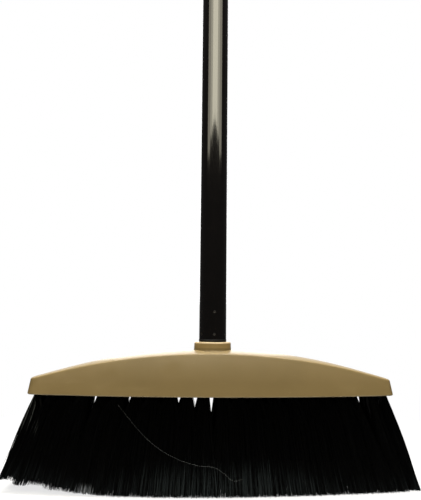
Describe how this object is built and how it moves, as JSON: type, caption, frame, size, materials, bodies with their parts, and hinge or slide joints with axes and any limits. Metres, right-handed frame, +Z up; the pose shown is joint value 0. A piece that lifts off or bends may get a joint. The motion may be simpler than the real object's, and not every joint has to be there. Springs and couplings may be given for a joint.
{
  "type": "floor broom",
  "caption": "Floor broom: arched tan plastic block with a round collar, fanned rows of stiff black bristle tufts, and a straight black tube handle that screws in and ends in a hang cap.",
  "frame": {"origin": "on the floor, under the handle's axis, at the middle of the trimmed bristle tips", "axes": "+Z up along the handle, +X along the block, -Y towards the side that the picture shows"},
  "size_m": [0.3322, 0.082, 1.304],
  "materials": {
    "tan_plastic": "satin moulded",
    "bristle": "drawn filament",
    "anchor_wire": "flat drawn wire",
    "black_coating": "gloss coated steel",
    "tip_plastic": "moulded",
    "cap_plastic": "satin moulded"
  },
  "bodies": {
    "head": {"block": "tan_plastic", "front_outer_bristles": "bristle", "front_inner_bristles": "bristle", "back_inner_bristles": "bristle", "back_outer_bristles": "bristle", "front_outer_anchors": "anchor_wire", "front_inner_anchors": "anchor_wire", "back_inner_anchors": "anchor_wire", "back_outer_anchors": "anchor_wire"},
    "hang_cap": {"hang_cap": "cap_plastic"},
    "handle": {"handle_tube": "black_coating", "threaded_tip": "tip_plastic"}
  },
  "joints": [
    {"name": "handle_lift", "type": "slide", "parent": "head", "child": "hang_cap", "axis": [0, 0, 1], "range_m": [0, 0.0254]},
    {"name": "handle_turn", "type": "hinge", "parent": "hang_cap", "child": "handle", "pos_m": [0, 0, 0.1095], "axis": [0, 0, 1], "range_deg": [0, 1800]}
  ],
  "couplings": [
    {"joint": "handle_turn", "follows": "handle_lift", "rad_per_m": 1236.8}
  ]
}
